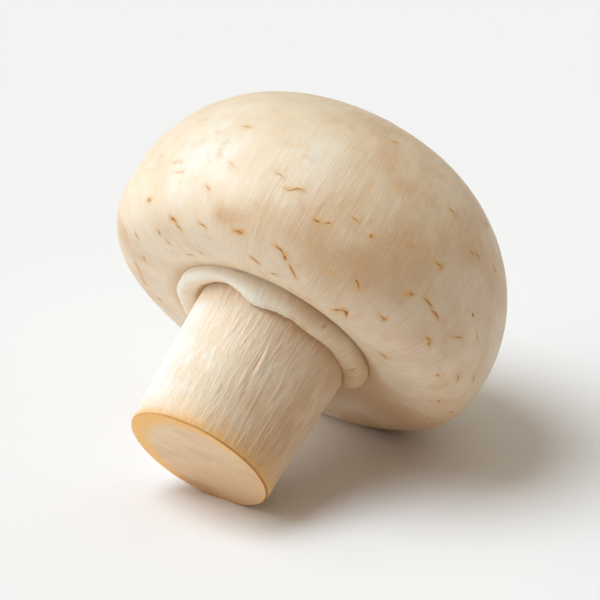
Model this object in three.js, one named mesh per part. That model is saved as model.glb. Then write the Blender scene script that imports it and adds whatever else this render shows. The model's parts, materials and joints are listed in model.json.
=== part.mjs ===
// A closed white button mushroom, lying where it was put down: the rim of its cut stem and the lip of its cap touch the
// table. It comes apart into three pieces that fit one another: the cap, the stem that snaps out of the cap's hollow,
// and the ring, the rolled rest of the veil that lies round the stem's neck and fills the cap's mouth.
//
// Lengths are millimetres. Each piece is first shaped in the mushroom's own upright frame: +Z runs along its axis from
// the cut end to the top of the cap, and angles go round that axis, with +90 degrees at the side that lies downwards.
// A group then leans all three over, so that z = 0 is the table and +Z is up.

import * as THREE from "three";

// The cap: a dome over a full, rolled-in lip, with a shallow hollow for the stem and the ring.
const CAP_RADIUS = 24; // at the widest circle
const CAP_WAIST = 26; // height of the widest circle above the cut end
const DOME_HEIGHT = 19.7; // from the widest circle to the top
const DOME_POWER = 2.2; // 2 would be an ellipse, more is fuller in the shoulders
const LIP_DROP = 7.6; // from the widest circle down to the lowest part of the lip
const LIP_RADIUS = 15.6; // where the lip is lowest
const LIP_POWER = 2.65;
const HOLLOW_RADIUS = 12.8;
const HOLLOW_DEPTH = 2.8; // from the lowest part of the lip up to the hollow's roof

// The cap sits a little crooked: its lip hangs lower on one side and leans out on another.
const LIP_SAG = 1.1;
const LIP_SAG_AT = -64;
const LIP_LEAN = 0.45;
const LIP_LEAN_AT = 120;

// The stem: nearly straight, a little wider at the neck.
const CUT_RADIUS = 9;
const NECK_RADIUS = 9.8; // where the lip is lowest
const CUT_EDGE = 0.3; // rounding of the rim of the cut
const STEM_FLUTE = 0.12; // depth of the shallow flutes down the stem's sides
const STEM_FLUTES = 5;

// The ring: a soft roll round the neck.
const RING_INNER = 10.2;
const RING_OUTER = 12.5;
const RING_LOW = 16.5; // height of its lower edge above the cut end
const RING_HIGH = 20.5;
const RING_POWER = 2.3;
const RING_WAVE = 0.2; // the roll wanders up and down the neck
const RING_WAVES = 3;
const RING_SWELL = 0.3; // it is thicker on one side
const RING_SWELL_AT = -146;
const RING_PINCH = 1.2; // it is pressed thinner on the side that lies downwards
const RING_LIFT = 0.7; // and its lower edge is higher there

const JOINT_GAP = 0.3; // pieces that touch keep this much air between their meshes
const SETTLE = 0.4; // the soft flesh flattens by this much where it lies on the table

const CAP_SEGMENTS = 72;
const STEM_SEGMENTS = 60;
const RING_SEGMENTS = 72;
const DOME_STEPS = 14;
const LIP_STEPS = 10;
const HOLLOW_STEPS = 5;
const STEM_STEPS = 8;
const RING_STEPS = 14;

const LIP_HEIGHT = CAP_WAIST - LIP_DROP;
const ROOF_HEIGHT = LIP_HEIGHT + HOLLOW_DEPTH;
const DOWN = Math.PI / 2; // the side that lies downwards

const radians = THREE.MathUtils.degToRad;
const smoothstep = THREE.MathUtils.smoothstep;

/** The point of a superellipse at a turn from its first axis, as shares of its two half-axes. */
function superellipse(turn, power) {
  const share = (value) => Math.sign(value) * Math.abs(value) ** (2 / power);
  return [share(Math.cos(turn)), share(Math.sin(turn))];
}

/** A quarter of a superellipse round a centre, from its first axis to its second. */
function quarterArc(centre, reach, power, steps) {
  return Array.from({ length: steps + 1 }, (_, i) => {
    const [across, along] = superellipse((i / steps) * (Math.PI / 2), power);
    return new THREE.Vector2(centre.x + reach.x * across, centre.y + reach.y * along);
  });
}

/** The cap's outline from the middle of the hollow's roof, round the lip and over the dome to the top. */
function capOutline() {
  const roof = new THREE.Vector2(0, ROOF_HEIGHT);
  const edge = new THREE.Vector2(LIP_RADIUS, ROOF_HEIGHT);
  const inward = new THREE.Vector2(HOLLOW_RADIUS - LIP_RADIUS, -HOLLOW_DEPTH);
  const hollow = quarterArc(edge, inward, LIP_POWER, HOLLOW_STEPS);
  const turn = new THREE.Vector2(LIP_RADIUS, CAP_WAIST);
  const outward = new THREE.Vector2(CAP_RADIUS - LIP_RADIUS, -LIP_DROP);
  const lip = quarterArc(turn, outward, LIP_POWER, LIP_STEPS).reverse();
  const middle = new THREE.Vector2(0, CAP_WAIST);
  const rise = new THREE.Vector2(CAP_RADIUS, DOME_HEIGHT);
  const dome = quarterArc(middle, rise, DOME_POWER, DOME_STEPS);
  dome.at(-1).x = 0;
  const innerRoof = new THREE.Vector2(HOLLOW_RADIUS / 2, ROOF_HEIGHT);
  return [roof, innerRoof, ...hollow, ...lip.slice(1), ...dome.slice(1)];
}

/** The stem's radius at a height above the cut end. */
function stemRadius(height) {
  return THREE.MathUtils.mapLinear(height, 0, LIP_HEIGHT, CUT_RADIUS, NECK_RADIUS);
}

/** The stem's outline from the middle of the cut end, up its side to the middle of its top. */
function stemOutline() {
  const top = ROOF_HEIGHT - JOINT_GAP;
  const side = Array.from({ length: STEM_STEPS + 1 }, (_, i) => {
    const height = THREE.MathUtils.lerp(CUT_EDGE, top, i / STEM_STEPS);
    return new THREE.Vector2(stemRadius(height), height);
  });
  return [
    new THREE.Vector2(0, 0),
    new THREE.Vector2(CUT_RADIUS / 2, 0),
    new THREE.Vector2(CUT_RADIUS - CUT_EDGE, 0),
    ...side,
    new THREE.Vector2(NECK_RADIUS / 2, top),
    new THREE.Vector2(0, top),
  ];
}

/** The ring's cross-section, a closed superellipse. */
function ringOutline() {
  const low = new THREE.Vector2(RING_INNER, RING_LOW);
  const high = new THREE.Vector2(RING_OUTER, RING_HIGH);
  const middle = low.clone().lerp(high, 0.5);
  return Array.from({ length: RING_STEPS + 1 }, (_, i) => {
    const turn = ((i % RING_STEPS) / RING_STEPS) * 2 * Math.PI;
    const [across, along] = superellipse(turn, RING_POWER);
    return new THREE.Vector2(across, along).multiply(high.clone().sub(middle)).add(middle);
  });
}

/** How much of the ring's thinning there is at an angle: all of it below, none above. */
function pinch(angle) {
  return Math.max(0, Math.cos(angle - DOWN)) ** 1.5;
}

/** How much further out the ring reaches at an angle than its mean; the hollow's wall goes with it. */
function ringReach(angle) {
  return RING_SWELL * Math.cos(angle - radians(RING_SWELL_AT)) - RING_PINCH * pinch(angle);
}

/** Makes the cap's lip sag on one side and lean out on another. The point is (radius, height). */
function growCap(angle, point) {
  const low = 1 - smoothstep(point.y, LIP_HEIGHT, CAP_WAIST);
  const outer = smoothstep(point.x, HOLLOW_RADIUS, LIP_RADIUS);
  const hollow = smoothstep(point.x, 0, HOLLOW_RADIUS) * (1 - outer) * low;
  point.x += ringReach(angle) * hollow;
  point.x += LIP_LEAN * low * outer * Math.cos(angle - radians(LIP_LEAN_AT));
  point.y -= LIP_SAG * low * outer * Math.cos(angle - radians(LIP_SAG_AT));
}

/** Gives the stem's side its shallow flutes, which fade out at the cut and under the lip. */
function growStem(angle, point) {
  const middle = Math.sin(Math.PI * THREE.MathUtils.clamp(point.y / LIP_HEIGHT, 0, 1));
  const side = smoothstep(point.x, CUT_RADIUS / 2, CUT_RADIUS);
  point.x += STEM_FLUTE * side * middle * Math.cos(STEM_FLUTES * angle);
}

/** Makes the ring thicker on one side and thinner below, and lets it wander up and down the neck. */
function growRing(angle, point) {
  const low = 1 - smoothstep(point.y, RING_LOW, RING_HIGH);
  point.x += ringReach(angle) * smoothstep(point.x, RING_INNER, RING_OUTER);
  point.y += RING_WAVE * Math.cos(RING_WAVES * angle) + RING_LIFT * pinch(angle) * low;
}

/** A solid turned round +Z, whose every (radius, height) point the grow function then moves. */
function turned(outline, segments, grow) {
  const geometry = new THREE.LatheGeometry(outline, segments).rotateX(DOWN);
  const position = geometry.getAttribute("position");
  for (let i = 0; i < position.count; i++) {
    const angle = Math.atan2(position.getY(i), position.getX(i));
    const radius = Math.hypot(position.getX(i), position.getY(i));
    const point = new THREE.Vector2(radius, position.getZ(i));
    grow(angle, point);
    position.setXYZ(i, point.x * Math.cos(angle), point.x * Math.sin(angle), point.y);
  }
  return geometry;
}

/** How far the axis leans up from the table when the rim of the cut and the cap's lip both lie on it. */
function restLean() {
  const slopes = capOutline()
    .filter((point) => point.x > LIP_RADIUS)
    .map((point) => {
      growCap(DOWN, point);
      return Math.atan2(point.x - CUT_RADIUS, point.y);
    });
  return Math.max(...slopes);
}

/** Presses flat whatever of a piece would reach below the table. */
function settle(mesh) {
  const position = mesh.geometry.getAttribute("position");
  const point = new THREE.Vector3();
  for (let i = 0; i < position.count; i++) {
    mesh.localToWorld(point.fromBufferAttribute(position, i));
    point.z = Math.max(point.z, 0);
    mesh.worldToLocal(point);
    position.setXYZ(i, point.x, point.y, point.z);
  }
}

/** One named piece of the mushroom in its own colour. */
function piece(name, geometry, color, roughness) {
  const material = new THREE.MeshStandardMaterial({ color, roughness, metalness: 0 });
  const mesh = new THREE.Mesh(geometry, material);
  mesh.name = name;
  return mesh;
}

const mushroom = new THREE.Group();
mushroom.add(
  piece("cap", turned(capOutline(), CAP_SEGMENTS, growCap), 0xefe3cf, 0.6),
  piece("stem", turned(stemOutline(), STEM_SEGMENTS, growStem), 0xf1e7d6, 0.7),
  piece("ring", turned(ringOutline(), RING_SEGMENTS, growRing), 0xf3eadb, 0.65),
);

const lean = restLean();
mushroom.rotation.x = lean - Math.PI / 2;
mushroom.position.z = CUT_RADIUS * Math.cos(lean) - SETTLE;
mushroom.updateMatrixWorld(true);
mushroom.children.forEach(settle);

const box = new THREE.Box3().setFromObject(mushroom, true);
mushroom.position.x -= (box.min.x + box.max.x) / 2;
mushroom.position.y -= (box.min.y + box.max.y) / 2;

export default mushroom;
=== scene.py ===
"""The looks of a closed white button mushroom that lies on a table: cap, ring and stem, and the studio.

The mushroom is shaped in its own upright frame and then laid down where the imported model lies. In that
frame heights run along the axis from the cut end to the top of the cap, and angles go round the axis, with
+90 degrees on the side that lies downwards. A place on a skin is an angle and a way, which is how far it is
along the outline: from the lowest line of the lip on the cap, from the rim of the cut on the stem, and round
the roll on the ring. Lengths are metres unless they are said to be mm.
"""

from __future__ import annotations

import json
import logging
import math
from dataclasses import dataclass, field
from enum import Enum
from typing import Any, Mapping, Sequence, Union

import bpy
import numpy as np
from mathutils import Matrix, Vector


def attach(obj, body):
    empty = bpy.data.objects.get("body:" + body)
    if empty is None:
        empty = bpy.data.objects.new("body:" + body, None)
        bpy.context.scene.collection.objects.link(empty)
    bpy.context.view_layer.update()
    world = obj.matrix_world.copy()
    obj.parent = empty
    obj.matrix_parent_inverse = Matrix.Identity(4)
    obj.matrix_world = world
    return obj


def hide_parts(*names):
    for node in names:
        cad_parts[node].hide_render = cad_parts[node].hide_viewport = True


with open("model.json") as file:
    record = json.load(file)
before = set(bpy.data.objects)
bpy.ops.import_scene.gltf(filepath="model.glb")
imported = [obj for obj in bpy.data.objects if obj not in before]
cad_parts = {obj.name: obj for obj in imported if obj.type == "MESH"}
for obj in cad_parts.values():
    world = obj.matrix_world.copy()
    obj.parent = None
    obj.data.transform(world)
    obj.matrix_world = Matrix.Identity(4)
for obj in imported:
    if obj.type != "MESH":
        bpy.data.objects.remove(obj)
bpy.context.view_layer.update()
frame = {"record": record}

BODY = "root"
TURN = 2 * math.pi
MM = 0.001
TINY = 1e-9
QUARTER_POINTS = 600

Array = np.ndarray
Triple = tuple[float, float, float]
Colour = Triple
Ends = tuple[float, float]
Span = tuple[float, float, float, float]
Operand = Union["Flow", float, Sequence[float]]

log = logging.getLogger("mushroom")


# Curves and reliefs


def smoothstep(low: float, high: float, value: Array) -> Array:
    """Shares that rise smoothly from 0 where the value is low to 1 where it is high."""
    share = np.clip((value - low) / (high - low), 0.0, 1.0)
    return share * share * (3 - 2 * share)


def crest(value: Array, width: float) -> Array:
    """A thin ridge of height 1 wherever the value is nought."""
    return np.exp(-((value / width) ** 2))


def superellipse(turn: Array, power: float | Array) -> Array:
    """The shares of its two half-axes at turns from the first one; with a power of 2 it is an ellipse."""
    shares = np.stack([np.cos(turn), np.sin(turn)])
    return np.sign(shares) * np.abs(shares) ** (2 / power)


def quarter(centre: Sequence[float], reach: Sequence[float], power: float) -> Array:
    """A quarter of a superellipse as a fine line, between the ends of its two signed half-axes."""
    turns = np.linspace(0, TURN / 4, QUARTER_POINTS)
    return np.array(centre) + np.array(reach) * superellipse(turns, power).T


def distance_along(line: Array) -> Array:
    """How far along the line each of its points is."""
    return np.concatenate([[0.0], np.cumsum(np.linalg.norm(np.diff(line, axis=0), axis=1))])


def stepped(stretches: Sequence[tuple[Array, int]]) -> Array:
    """An outline through stretches that meet end to end.

    Args:
        stretches: the points of each, and the number of equal steps that it gets.

    Returns:
        The outline's points, with both ends.
    """
    points = []
    for line, steps in stretches:
        way = distance_along(line)
        marks = np.linspace(0, way[-1], steps + 1)[:-1]
        points.append(np.stack([np.interp(marks, way, values) for values in line.T], 1))
    return np.concatenate([*points, stretches[-1][0][-1:]])


def unit(vectors: Array) -> Array:
    """The vectors, each made one long."""
    return vectors / np.maximum(np.linalg.norm(vectors, axis=-1, keepdims=True), TINY)


def grain(turn: Array, way: Array) -> Array:
    """Coordinates that run with the fibres: a circle for the angle, and the way for the third."""
    return np.stack([np.cos(turn), np.sin(turn), way], -1)


@dataclass(frozen=True)
class Round:
    """A size that changes round the axis: what it is at some whole degrees, and smooth between them."""

    sizes: Mapping[int, float]

    def at(self, angle: Array) -> Array:
        """Looks the size up.

        Args:
            angle: angles round the axis, in radians.

        Returns:
            The size at each of them.
        """
        keys = sorted((degrees % 360, size) for degrees, size in self.sizes.items())
        keys = [(d - 360, v) for d, v in keys[-2:]] + keys + [(d + 360, v) for d, v in keys[:2]]
        marks, sizes = np.array(keys, float).T
        slopes = np.gradient(sizes, marks)
        degrees = np.degrees(angle) % 360
        i = np.clip(np.searchsorted(marks, degrees, side="right") - 1, 0, len(marks) - 2)
        gap = marks[i + 1] - marks[i]
        t = (degrees - marks[i]) / gap
        rest = 1 - t
        ends = sizes[i] * rest**2 * (1 + 2 * t) + sizes[i + 1] * t**2 * (3 - 2 * t)
        return ends + gap * (slopes[i] * t * rest**2 - slopes[i + 1] * rest * t**2)


@dataclass(frozen=True)
class Relief:
    """Smooth random heights on a grid of cells that closes on itself round the axis.

    Its cells are counted in one turn and from end to end. The gain makes up for what the smoothing takes.
    """

    seed: int
    around: int
    along: int
    height: float = 1.0
    gain: float = 1.6

    @staticmethod
    def weights(share: Array) -> list[Array]:
        """The four weights of a cubic B-spline at a share of a cell."""
        rest = 1 - share
        inner = [(3 * part**3 - 6 * part**2 + 4) / 6 for part in (share, rest)]
        return [rest**3 / 6, *inner, share**3 / 6]

    def at(self, lap: Array, along: Array | float) -> Array:
        """Looks the heights up.

        Args:
            lap: shares of a turn; 1 is the same as 0.
            along: shares of the way from end to end.

        Returns:
            The height at each place, up or down.
        """
        grid = np.random.default_rng(self.seed).uniform(-1, 1, (self.along + 3, self.around))
        column = (lap % 1.0) * self.around
        row = np.clip(along, 0, 1 - TINY) * self.along
        first_column, first_row = np.floor(column).astype(int), np.floor(row).astype(int)
        column_weights = self.weights(column - first_column)
        total = np.zeros(lap.shape)
        for i, row_weight in enumerate(self.weights(row - first_row)):
            for j, column_weight in enumerate(column_weights):
                heights = grid[first_row + i, (first_column + j - 1) % self.around]
                total += row_weight * column_weight * heights
        return total * self.gain * self.height


# Node graphs


@dataclass(frozen=True)
class Noise:
    """A kind of soft noise: its cells to a unit of place, its finer layers and how strong they are.

    The warp is how far it pushes itself about, and the stretch packs its cells closer along each axis.
    """

    scale: float = 1.0
    detail: float = 2.0
    rough: float = 0.5
    warp: float = 0.0
    stretch: Triple = (1.0, 1.0, 1.0)


@dataclass(frozen=True)
class Coat:
    """A colour over others, which goes from one share to another where some value goes from low to high."""

    colour: Colour
    low: float
    high: float
    first: float = 0.0
    second: float = 1.0


class Flow:
    """What comes out of a node's socket. Arithmetic on it makes more nodes."""

    def __init__(self, graph: Graph, socket: bpy.types.NodeSocket) -> None:
        """Holds a socket of a graph."""
        self.graph = graph
        self.socket = socket

    def __add__(self, other: Operand) -> Flow:
        """Sum."""
        return self.graph.combine("ADD", self, other)

    def __sub__(self, other: Operand) -> Flow:
        """Difference."""
        return self.graph.combine("SUBTRACT", self, other)

    def __mul__(self, other: Operand) -> Flow:
        """Product; a vector is scaled by a number."""
        return self.graph.combine("MULTIPLY", self, other)


def is_vector(value: Operand) -> bool:
    """Whether it is three numbers, or a flow of them."""
    return value.socket.type in {"VECTOR", "RGBA"} if isinstance(value, Flow) else isinstance(value, tuple)


class Graph:
    """A node tree that is written as sums and calls."""

    def __init__(self, tree: bpy.types.NodeTree) -> None:
        """Works on an emptied tree."""
        self.tree = tree
        self.tree.nodes.clear()

    def feed(self, value: Any, socket: bpy.types.NodeSocket) -> None:
        """Links a flow to an input, or sets the input to a plain value.

        Args:
            value: what goes in.
            socket: the input.
        """
        if isinstance(value, Flow):
            self.tree.links.new(value.socket, socket)
        elif socket.type == "RGBA":
            socket.default_value = (*value, 1.0)
        else:
            socket.default_value = value

    def node(self, kind: str, inputs: Mapping[Any, Any], **settings: Any) -> bpy.types.Node:
        """A node with its inputs fed.

        Args:
            kind: the node's type.
            inputs: what to feed, by socket name or number.
            settings: the node's own settings.

        Returns:
            The node.
        """
        made = self.tree.nodes.new(kind)
        for name, value in settings.items():
            setattr(made, name, value)
        for name, value in inputs.items():
            self.feed(value, made.inputs[name])
        return made

    def run(self, kind: str, inputs: Mapping[Any, Any], out: int | str = 0, **settings: Any) -> Flow:
        """What comes out of a new node with those inputs and settings, at one of its outputs."""
        return Flow(self, self.node(kind, inputs, **settings).outputs[out])

    def math(self, operation: str, *values: Operand) -> Flow:
        """A math node on numbers."""
        return self.run("ShaderNodeMath", dict(enumerate(values)), operation=operation)

    def vector_math(self, operation: str, *values: Operand, out: int | str = 0) -> Flow:
        """A math node on vectors."""
        return self.run("ShaderNodeVectorMath", dict(enumerate(values)), out, operation=operation)

    def combine(self, operation: str, first: Operand, second: Operand) -> Flow:
        """A math node on numbers, or on vectors if either side is a vector.

        Args:
            operation: what it does.
            first: the left side.
            second: the right side.

        Returns:
            The result.
        """
        if not is_vector(first) and not is_vector(second):
            return self.math(operation, first, second)
        if operation == "MULTIPLY" and not is_vector(second):
            return self.run("ShaderNodeVectorMath", {0: first, "Scale": second}, operation="SCALE")
        return self.vector_math(operation, first, second)

    def part(self, vector: Flow, which: int) -> Flow:
        """One of a vector's three numbers."""
        return self.run("ShaderNodeSeparateXYZ", {0: vector}, which)

    def span(self, value: Flow, low: float, high: float, first: float = 0.0, second: float = 1.0) -> Flow:
        """Goes smoothly from the first number where the value is low to the second where it is high."""
        inputs = {"Value": value, "From Min": low, "From Max": high, "To Min": first, "To Max": second}
        return self.run("ShaderNodeMapRange", inputs, interpolation_type="SMOOTHSTEP")


class Dye(Graph):
    """A material's node tree."""

    def __init__(self, name: str) -> None:
        """Makes an empty material."""
        self.material = bpy.data.materials.new(name)
        self.material.use_nodes = True
        super().__init__(self.material.node_tree)

    def place(self) -> Flow:
        """The place on the object."""
        return self.run("ShaderNodeTexCoord", {}, "Object")

    def attribute(self, name: str, vector: bool = False) -> Flow:
        """A value that the mesh carries at its corners."""
        out = "Vector" if vector else "Fac"
        return self.run("ShaderNodeAttribute", {}, out, attribute_type="GEOMETRY", attribute_name=name)

    def noise(self, where: Flow, kind: Noise) -> Flow:
        """A kind of noise, from 0 to 1 and mostly near a half.

        Args:
            where: the place to look it up.
            kind: the noise.

        Returns:
            Its value there.
        """
        return self.run("ShaderNodeTexNoise", {
            "Vector": where * kind.stretch,
            "Scale": kind.scale,
            "Detail": kind.detail,
            "Roughness": kind.rough,
            "Distortion": kind.warp,
        })

    def ripple(self, where: Flow, kind: Noise) -> Flow:
        """A kind of noise that goes up and down from nought."""
        return self.noise(where, kind) - 0.5

    def blend(self, share: Operand, first: Any, second: Any) -> Flow:
        """The first colour where the share is 0, the second where it is 1."""
        inputs = {0: share, 6: first, 7: second}
        return self.run("ShaderNodeMix", inputs, 2, data_type="RGBA", clamp_factor=True)

    def coats(self, under: Any, *coats: tuple[Flow, Coat]) -> Flow:
        """Lays coats over a colour, one after another.

        Args:
            under: the colour below them.
            coats: each coat after the value that it goes by.

        Returns:
            The colour.
        """
        for value, coat in coats:
            share = self.span(value, coat.low, coat.high, coat.first, coat.second)
            under = self.blend(share, under, coat.colour)
        return under

    def bump(self, height: Flow, distance: float, strength: float, under: Flow | None = None) -> Flow:
        """A normal that follows a height, of which 1 stands for that distance, over another normal."""
        inputs = {"Height": height, "Distance": distance, "Strength": strength}
        return self.run("ShaderNodeBump", inputs if under is None else {**inputs, "Normal": under})

    def finish(self, shader: Flow) -> bpy.types.Material:
        """Ends the tree in a shader and returns the material."""
        self.node("ShaderNodeOutputMaterial", {"Surface": shader})
        return self.material


# How the mushroom lies


@dataclass(frozen=True)
class Lie:
    """Where the mushroom's own frame is on the table."""

    foot: Array
    across: Array
    downward: Array
    along: Array

    @classmethod
    def from_record(cls, record: Mapping[str, Any]) -> Lie:
        """Reads it from the face of the cut.

        Args:
            record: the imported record, which gives that face as a mount.

        Returns:
            The lie.
        """
        cut = next(mount for mount in record["mounts"] if mount["name"] == "cut_face")
        along = unit(-np.array(cut["axis"], float))
        across = np.array([1.0, 0.0, 0.0])
        return cls(np.array(cut["pos_m"], float), across, np.cross(along, across), along)

    def place(self, radius: Array, angle: Array, height: Array) -> Array:
        """Points on the table's frame.

        Args:
            radius: distances from the axis.
            angle: angles round it, in radians.
            height: heights along it.

        Returns:
            The points, with x, y and z as the last dimension.
        """
        out = (radius * np.cos(angle))[..., None] * self.across
        out = out + (radius * np.sin(angle))[..., None] * self.downward
        return self.foot + out + height[..., None] * self.along


@dataclass(frozen=True)
class Welt:
    """A raised line, or a groove below zero, that runs with a skin's fibres. All but the angle are mm."""

    angle: float
    way: float
    length: float
    height: float = 0.05
    width: float = 0.3
    bow: float = 0.12


def put(name: str, data: Any) -> bpy.types.Object:
    """A new object in the scene.

    Args:
        name: what to call it.
        data: its mesh, lamp or camera.

    Returns:
        The object, at the origin.
    """
    made = bpy.data.objects.new(name, data)
    bpy.context.scene.collection.objects.link(made)
    return made


def note(mesh: bpy.types.Mesh, name: str, values: Array) -> None:
    """Writes a value, or a vector, for each corner on a mesh under a name."""
    kind, key = ("FLOAT_VECTOR", "vector") if values.ndim == 2 else ("FLOAT", "value")
    mesh.attributes.new(name, kind, "POINT").data.foreach_set(key, values.astype(np.float32).ravel())


class Turned:
    """A closed skin turned round the axis: rows of points along an outline, columns round the axis."""

    def __init__(self, lie: Lie, outline: Array, columns: int, loop: bool = False) -> None:
        """Lays out the grid.

        Args:
            lie: how the mushroom lies.
            outline: (radius, height) points with the flesh on the left of someone who walks along it.
            columns: how many columns there are in one turn.
            loop: whether the outline closes on itself, as a ring's does, or ends on the axis at both ends.
        """
        self.lie = lie
        self.loop = loop
        self.columns = columns
        self.rows = len(outline)
        self.lap = np.tile(np.arange(columns) / columns, (self.rows, 1))
        self.turn = self.lap * TURN
        lines = (distance_along(outline), *outline.T)
        self.way, self.radius, self.height = (np.repeat(line[:, None], columns, 1) for line in lines)

    def steps(self, values: Array) -> Array:
        """How much the values change from row to row."""
        wrapped = np.roll(values, -1, 0) - np.roll(values, 1, 0)
        return wrapped if self.loop else np.gradient(values, axis=0)

    def lift(self, distance: Array) -> None:
        """Moves every point outwards, square to the outline.

        Args:
            distance: how far each of them goes.
        """
        run, rise = self.steps(self.radius), self.steps(self.height)
        length = np.maximum(np.hypot(run, rise), TINY)
        self.radius = np.maximum(self.radius + rise / length * distance, 0)
        self.height = self.height - run / length * distance

    def raised(self, welts: Sequence[Welt]) -> Array:
        """How much some welts raise the skin.

        Args:
            welts: the welts.

        Returns:
            The height at each point.
        """
        total = np.zeros(self.turn.shape)
        for welt in welts:
            away = (self.turn - math.radians(welt.angle) + math.pi) % TURN - math.pi
            along = (self.way / MM - welt.way) / (0.5 * welt.length)
            bent = away * self.radius / MM + welt.bow * along * along
            total += MM * welt.height * np.maximum(1 - along * along, 0) * crest(bent, welt.width)
        return total

    def points(self) -> Array:
        """The grid's points where the mushroom lies, with what would reach below the table pressed flat."""
        placed = self.lie.place(self.radius, self.turn, self.height)
        return np.maximum(placed, (-math.inf, -math.inf, 0.0))

    def faces(self) -> list[list[int]]:
        """The corner numbers of every face: the four-sided ones, then those at the two poles."""
        rows = np.arange(self.rows) if self.loop else np.arange(1, self.rows - 1)
        before = 0 if self.loop else self.columns - 1
        number = rows[:, None] * self.columns + np.arange(self.columns) - before
        beside = np.roll(number, -1, 1)
        quads = np.stack([number, beside, np.roll(beside, -1, 0), np.roll(number, -1, 0)], -1)
        if self.loop:
            return quads.reshape(-1, 4).tolist()
        last = (self.rows - 2) * self.columns + 1
        foot = np.stack([np.zeros_like(number[0]), beside[0], number[0]], -1)
        head = np.stack([number[-1], beside[-1], np.full_like(number[0], last)], -1)
        return quads[:-1].reshape(-1, 4).tolist() + foot.tolist() + head.tolist()

    def flat(self, values: Array) -> Array:
        """Lists the values at the mesh's corners, of which each pole has one.

        Args:
            values: one value, or one vector, for each point of the grid.

        Returns:
            One for each corner.
        """
        if self.loop:
            return values.reshape(-1, *values.shape[2:])
        middle = values[1:-1].reshape(-1, *values.shape[2:])
        return np.concatenate([values[:1, 0], middle, values[-1:, 0]])

    def build(
        self, name: str, finishes: Sequence[bpy.types.Material], values: Mapping[str, Array]
    ) -> bpy.types.Object:
        """Makes the piece.

        Args:
            name: the piece's name.
            finishes: what it wears.
            values: what its finishes read at each point of the grid, by name.

        Returns:
            The piece, smooth shaded, at the origin.
        """
        mesh = bpy.data.meshes.new(name)
        mesh.from_pydata(self.flat(self.points()).tolist(), [], self.faces())
        mesh.polygons.foreach_set("use_smooth", np.ones(len(mesh.polygons), bool))
        for label, value in values.items():
            note(mesh, label, self.flat(value))
        for finish in finishes:
            mesh.materials.append(finish)
        mesh.update()
        return put(name, mesh)


# Finishes


@dataclass(frozen=True)
class Flesh:
    """How light goes into mushroom flesh, and how it shines."""

    roughness: float = 0.45
    shine: float = 0.5
    depth: float = 0.0007
    glow: Colour = (1.0, 0.6, 0.35)
    softness: float = 0.4

    def finish(self, dye: Dye, colour: Flow, normal: Flow) -> bpy.types.Material:
        """Ends a material.

        Args:
            dye: the material's tree.
            colour: the colour.
            normal: the normal.

        Returns:
            The material.
        """
        return dye.finish(dye.run("ShaderNodeBsdfPrincipled", {
            "Base Color": colour,
            "Roughness": self.roughness,
            "Specular IOR Level": self.shine,
            "Subsurface Weight": self.softness,
            "Subsurface Radius": self.glow,
            "Subsurface Scale": self.depth,
            "Normal": normal,
        }))


@dataclass(frozen=True)
class CapSkin:
    """The cap's silky skin: cream, mottled beige, with stained flecks. Flecks and fibrils wear it too.

    A span says between which two values something rises, and from what to what.
    """

    name: str = "cap skin"
    cream: Colour = (0.92, 0.78, 0.59)
    beige: Coat = Coat((0.74, 0.49, 0.275), 0.0, 1.0)
    pale: Coat = Coat((0.98, 0.94, 0.86), 0.15, -0.5)
    spotted: Coat = Coat((0.74, 0.49, 0.275), 0.6, 0.8, 0.0, 0.35)
    stain: Colour = (0.82, 0.48, 0.16)
    # painted shade: the skin turns warm brown inside the hollow under the lip, where the lip and the ring
    # shade it
    hollow: Coat = Coat((0.66, 0.42, 0.22), -0.0003, -0.0018, 0.0, 0.7)
    tones: tuple[Coat, ...] = (
        Coat((0.80, 0.39, 0.10), 0.0, 0.5), Coat((0.48, 0.18, 0.03), 0.15, 0.95),
        Coat((0.98, 0.94, 0.86), 0.0, -0.4, 0.0, 0.5),
    )
    silk: Noise = Noise(1.0, 3.0, 0.6, 0.3, (105.0, 105.0, 300.0))
    strands: Noise = Noise(1.0, 2.0, 0.5, 0.5, (34.0, 34.0, 130.0))
    clouds: Noise = Noise(160.0, 3.0, 0.55)
    mottle: Noise = Noise(420.0, 3.0, 0.6, 0.6)
    spots: Noise = Noise(620.0)
    tears: Noise = Noise(1500.0, 2.0, 0.6)
    tan: float = 0.15
    patch_tan: float = 0.45
    mottle_tan: float = 0.45
    strand_tan: float = 0.2
    cloud_tan: Span = (0.25, 0.8, -0.02, 0.42)
    silk_tan: Span = (0.003, 0.009, 0.8, 0.5)
    stain_spots: Span = (0.3, 0.65, 0.5, 1.3)
    tear_tone: Span = (0.35, 0.6, 0.6, 1.1)
    strand_bump: Ends = (0.00010, 0.35)
    silk_bump: Ends = (0.00008, 0.7)
    flesh: Flesh = Flesh()

    def make(self) -> bpy.types.Material:
        """The material."""
        dye = Dye(self.name)
        place, fibre = dye.place(), dye.attribute("grain", vector=True)
        way, silky = dye.part(fibre, 2), dye.attribute("silky")
        silk, strands = dye.ripple(fibre, self.silk) * silky, dye.ripple(fibre, self.strands) * silky
        spots = dye.noise(place, self.spots)
        tan = dye.span(dye.noise(place, self.clouds), *self.cloud_tan) + self.tan
        # the "patch" value is partly the skin's own tan and pale patches, partly painted highlight and
        # painted shade
        tan = tan + dye.attribute("patch") * self.patch_tan + strands * self.strand_tan
        tan = tan + dye.ripple(place, self.mottle) * self.mottle_tan + silk * dye.span(way, *self.silk_tan)
        colour = dye.coats(self.cream, (tan, self.beige), (tan, self.pale), (spots, self.spotted))
        colour = dye.blend(dye.attribute("stain") * dye.span(spots, *self.stain_spots), colour, self.stain)
        tone = dye.attribute("tone") * dye.span(dye.noise(place, self.tears), *self.tear_tone)
        # the hollow coat is painted shade inside the hollow under the lip
        colour = dye.coats(colour, (way, self.hollow), *((tone, coat) for coat in self.tones))
        normal = dye.bump(silk, *self.silk_bump, dye.bump(strands, *self.strand_bump))
        return self.flesh.finish(dye, colour, normal)


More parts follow.
